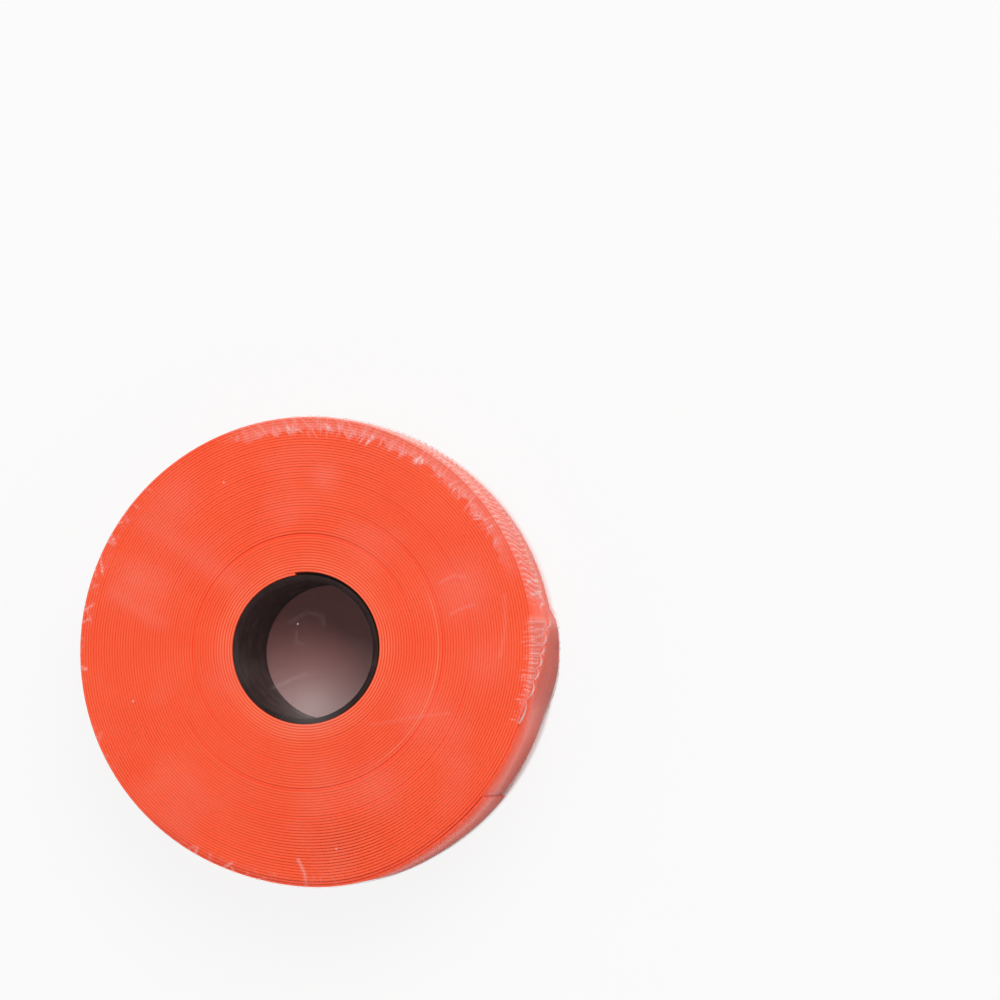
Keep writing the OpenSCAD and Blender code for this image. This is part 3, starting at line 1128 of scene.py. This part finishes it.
def floor():
    bpy.ops.mesh.primitive_plane_add(size=FLOOR_SIZE)
    plane = bpy.context.object
    plane.name = "floor"
    material, nodes = new_material("floor_paint")
    paint = nodes["Principled BSDF"]
    paint.inputs["Base Color"].default_value = (*grey(0.86), 1)
    paint.inputs["Roughness"].default_value = 0.9
    paint.inputs["Specular IOR Level"].default_value = 0.1
    reach = new_node(nodes, "VectorMath")
    reach.operation = "LENGTH"
    link(new_node(nodes, "TexCoord").outputs["Object"], reach.inputs[0])
    clear = map_range(nodes, reach.outputs["Value"], CLEAR_FROM, CLEAR_TO, 0.0, BACKDROP_SHARE)
    share = math_node(nodes, "MULTIPLY", backdrop_rays(nodes), clear)
    backdrop = new_node(nodes, "Emission", Color=(*grey(0.97), 1))
    mixed = mixed_shader(nodes, share, paint.outputs["BSDF"], backdrop.outputs["Emission"])
    link(mixed, nodes["Material Output"].inputs["Surface"])
    plane.data.materials.append(material)


def soft_box(name, place, size, level):
    """Square lamp aimed at the roll; level is its radiance."""
    lamp = bpy.data.lights.new(name, "AREA")
    lamp.shape = "SQUARE"
    lamp.size = size
    lamp.energy = level * math.pi * size * size
    holder = bpy.data.objects.new(name, lamp)
    bpy.context.scene.collection.objects.link(holder)
    holder.location = place
    holder.rotation_euler = (-Vector(place)).to_track_quat("-Z", "Y").to_euler()


def studio_world():
    """Dim surroundings, and a pale backdrop for the camera."""
    world = bpy.data.worlds.new("studio")
    bpy.context.scene.world = world
    world.use_nodes = True
    nodes = world.node_tree.nodes
    split = new_node(nodes, "SeparateXYZ")
    link(new_node(nodes, "TexCoord").outputs["Generated"], split.inputs["Vector"])
    upwards = split.outputs["Z"]
    sky = ramp(nodes, upwards, [
        (0.0, grey(0.6)), (0.5, grey(0.75)), (0.75, grey(0.72)), (0.93, grey(0.18))])
    pale = ramp(nodes, upwards, [(0.35, grey(0.92)), (0.93, grey(0.18))])
    backdrop = new_node(nodes, "Mix")
    backdrop.data_type = "RGBA"
    link(pale, backdrop.inputs["B"])
    link(backdrop_rays(nodes), backdrop.inputs["Factor"])
    link(sky, backdrop.inputs["A"])
    link(backdrop.outputs["Result"], nodes["Background"].inputs["Color"])


# Camera: the roll's place in the picture and how far its axis leans in the view
IMAGE_SIZE = 1000
CORE_PIXEL = (304.9, 649.3)
PIXELS_PER_METRE = 4880
CAMERA_DISTANCE = 0.70
SENSOR_WIDTH = 36
CLIP_START = 0.01
LEAN_RIGHT = 0.174
LEAN_DOWN = 0.068


def camera():
    right = Vector((math.sqrt(1 - LEAN_RIGHT ** 2), 0, -LEAN_RIGHT))
    slant = LEAN_RIGHT * LEAN_DOWN / right.x
    upward = Vector((slant, math.sqrt(1 - LEAN_DOWN ** 2 - slant ** 2), LEAN_DOWN))
    back = right.cross(upward)
    data = bpy.data.cameras.new("camera")
    data.sensor_width = SENSOR_WIDTH
    data.lens = PIXELS_PER_METRE * CAMERA_DISTANCE / IMAGE_SIZE * SENSOR_WIDTH
    data.clip_start = CLIP_START
    holder = bpy.data.objects.new("camera", data)
    bpy.context.scene.collection.objects.link(holder)
    across = (CORE_PIXEL[0] - IMAGE_SIZE / 2) / PIXELS_PER_METRE
    above = (IMAGE_SIZE / 2 - CORE_PIXEL[1]) / PIXELS_PER_METRE
    place = Vector((0, 0, ROLL_TOP)) - right * across - upward * above + back * CAMERA_DISTANCE
    basis = Matrix((right, upward, back)).transposed().to_4x4()
    holder.matrix_world = Matrix.Translation(place) @ basis
    bpy.context.scene.camera = holder


floor()
soft_box("key_lamp", KEY_PLACE, KEY_SIZE, KEY_LEVEL)
studio_world()
camera()
bpy.context.scene.view_settings.view_transform = "Standard"
